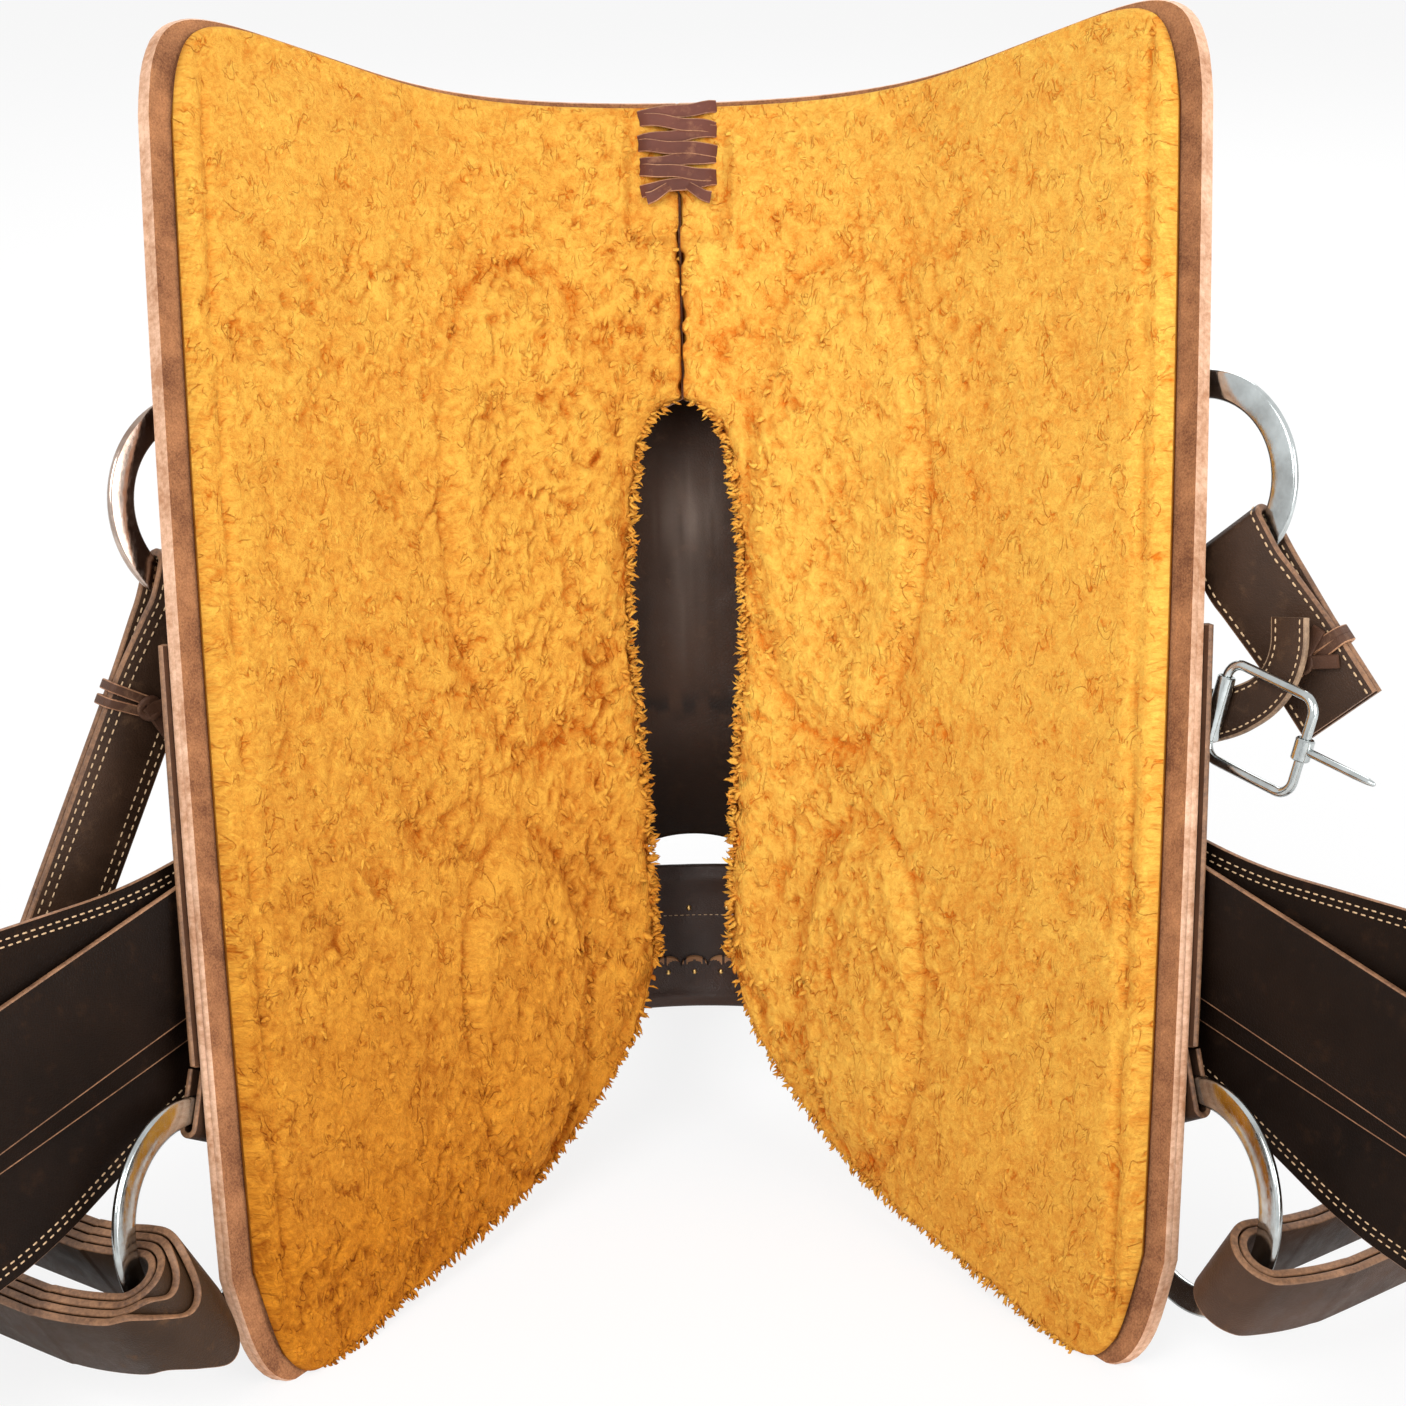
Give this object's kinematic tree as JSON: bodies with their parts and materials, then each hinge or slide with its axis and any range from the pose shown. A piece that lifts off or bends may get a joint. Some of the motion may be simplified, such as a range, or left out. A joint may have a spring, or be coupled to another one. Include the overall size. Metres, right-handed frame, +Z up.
{
  "type": "western riding saddle",
  "caption": "Western stock saddle standing on its nose, fleece underside to the front, with hanging rigging rings, wound cinch straps, flank billets, buckle and stirrups.",
  "frame": {"origin": "On the ground, under the middle of the saddle's box, as it stands on its nose", "axes": "+X to the rider's right (the off side), +Y away from the viewer (towards the rider's side of the saddle), +Z up (towards the cantle)"},
  "size_m": [1.3434, 0.9856, 0.672],
  "materials": {
    "leather": "oiled dark brown leather, semi-gloss, with lighter cut edges and cream stitching",
    "rough_leather": "flesh side, matt and fibrous",
    "lace": "glossy purple-brown latigo lace",
    "fleece": "golden shearling pile with curly tufts",
    "tree_wood": "bare pine",
    "stirrup_wood": "varnished hardwood",
    "polished_steel": "polished, with brown reflections of the leather"
  },
  "bodies": {
    "saddle": {"skirt_lining_left": "rough_leather", "skirt_lining_right": "rough_leather", "skirt_left": "leather", "skirt_right": "leather", "fleece_left": "fleece", "fleece_right": "fleece", "tree_bar_left": "tree_wood", "tree_bar_right": "tree_wood", "front_jockey_left": "leather", "front_jockey_right": "leather", "rear_jockey_left": "leather", "rear_jockey_right": "leather", "rigging_plate_left": "leather", "rigging_plate_right": "leather", "leather_wrap_left": "leather", "leather_wrap_right": "leather", "rear_lacing": "lace", "ground_seat": "leather", "cantle": "tree_wood", "seat": "leather", "cantle_back": "leather", "cantle_binding": "leather", "fork": "tree_wood", "swell_cover": "leather", "gullet_lining": "leather", "gullet_trim": "leather", "horn_neck": "leather", "horn_post": "polished_steel", "horn_cap": "leather"},
    "front_ring_left_body": {"front_ring_left": "polished_steel", "front_ring_hanger_left": "leather"},
    "rear_ring_left_body": {"rear_ring_left": "polished_steel", "rear_ring_hanger_left": "leather"},
    "fender_left_body": {"fender_left": "leather", "stirrup_leather_left": "leather", "hobble_strap_left": "leather"},
    "stirrup_left_body": {"stirrup_left": "stirrup_wood", "stirrup_bolt_left": "polished_steel"},
    "front_ring_right_body": {"front_ring_right": "polished_steel", "front_ring_hanger_right": "leather"},
    "rear_ring_right_body": {"rear_ring_right": "polished_steel", "rear_ring_hanger_right": "leather"},
    "fender_right_body": {"fender_right": "leather", "stirrup_leather_right": "leather", "hobble_strap_right": "leather"},
    "stirrup_right_body": {"stirrup_right": "stirrup_wood", "stirrup_bolt_right": "polished_steel"},
    "latigo_body": {"latigo": "leather"},
    "off_billet_body": {"off_billet": "leather"},
    "near_flank_body": {"near_flank_billet": "leather", "near_flank_lace": "lace"},
    "off_flank_body": {"off_flank_billet": "leather", "off_flank_lace": "lace", "flank_strap": "leather"},
    "buckle_frame_body": {"buckle_frame": "polished_steel"},
    "buckle_roller_body": {"buckle_roller": "polished_steel"},
    "buckle_tongue_body": {"buckle_tongue": "polished_steel"}
  },
  "joints": [
    {"name": "front_ring_hinge_left", "type": "hinge", "parent": "saddle", "child": "front_ring_left_body", "pos_m": [-0.25167, -0.02014, 0.15802], "axis": [0.4974, 0.692, -0.5233], "range_deg": [0, 12]},
    {"name": "rear_ring_hinge_left", "type": "hinge", "parent": "saddle", "child": "rear_ring_left_body", "pos_m": [-0.19738, 0.18103, 0.40982], "axis": [0, -0.3568, -0.9342], "range_deg": [0, 40]},
    {"name": "front_ring_hinge_right", "type": "hinge", "parent": "saddle", "child": "front_ring_right_body", "pos_m": [0.25167, -0.02014, 0.15802], "axis": [0.4974, -0.692, 0.5233], "range_deg": [0, 12]},
    {"name": "rear_ring_hinge_right", "type": "hinge", "parent": "saddle", "child": "rear_ring_right_body", "pos_m": [0.21521, 0.16335, 0.41657], "axis": [0, 0.3568, 0.9342], "range_deg": [0, 40]},
    {"name": "latigo_hinge", "type": "hinge", "parent": "front_ring_left_body", "child": "latigo_body", "pos_m": [-0.28616, -0.10443, 0.06889], "axis": [0.3625, 0.3149, -0.8772], "range_deg": [-2, 5]},
    {"name": "off_billet_hinge", "type": "hinge", "parent": "front_ring_right_body", "child": "off_billet_body", "pos_m": [0.28616, -0.10443, 0.06889], "axis": [0.3625, -0.3149, 0.8772], "range_deg": [-6, 4]},
    {"name": "near_flank_hinge", "type": "hinge", "parent": "rear_ring_left_body", "child": "near_flank_body", "pos_m": [-0.27053, 0.11205, 0.39726], "axis": [0.7064, 0.5107, -0.4901], "range_deg": [-4, 4]},
    {"name": "off_flank_hinge", "type": "hinge", "parent": "rear_ring_right_body", "child": "off_flank_body", "pos_m": [0.29401, 0.09129, 0.41053], "axis": [0.6364, -0.3703, 0.6767], "range_deg": [0, 7]},
    {"name": "buckle_hinge", "type": "hinge", "parent": "off_flank_body", "child": "buckle_frame_body", "pos_m": [0.28299, 0.0493, 0.32847], "axis": [0.2502, 0.0704, 0.9656], "range_deg": [-30, 0]},
    {"name": "roller_spin", "type": "hinge", "parent": "buckle_frame_body", "child": "buckle_roller_body", "pos_m": [0.28299, 0.0493, 0.32847], "axis": [0.2502, 0.0704, 0.9656], "continuous": true},
    {"name": "tongue_hinge", "type": "hinge", "parent": "buckle_frame_body", "child": "buckle_tongue_body", "pos_m": [0.32015, 0.00261, 0.32224], "axis": [0.2502, 0.0704, 0.9656], "range_deg": [0, 40]},
    {"name": "fender_hinge_left", "type": "hinge", "parent": "saddle", "child": "fender_left_body", "pos_m": [-0.18458, 0.1071, 0.22183], "axis": [-0.2774, 0.0255, 0.9604], "range_deg": [-8, 0]},
    {"name": "stirrup_hinge_left", "type": "hinge", "parent": "fender_left_body", "child": "stirrup_left_body", "pos_m": [-0.52499, -0.3329, 0.14821], "axis": [-0.2774, 0.0255, 0.9604], "range_deg": [-40, 40]},
    {"name": "fender_hinge_right", "type": "hinge", "parent": "saddle", "child": "fender_right_body", "pos_m": [0.18458, 0.1071, 0.22183], "axis": [0.2774, 0.0255, 0.9604], "range_deg": [0, 12]},
    {"name": "stirrup_hinge_right", "type": "hinge", "parent": "fender_right_body", "child": "stirrup_right_body", "pos_m": [0.52499, -0.3329, 0.14821], "axis": [0.2774, 0.0255, 0.9604], "range_deg": [-40, 40]}
  ]
}
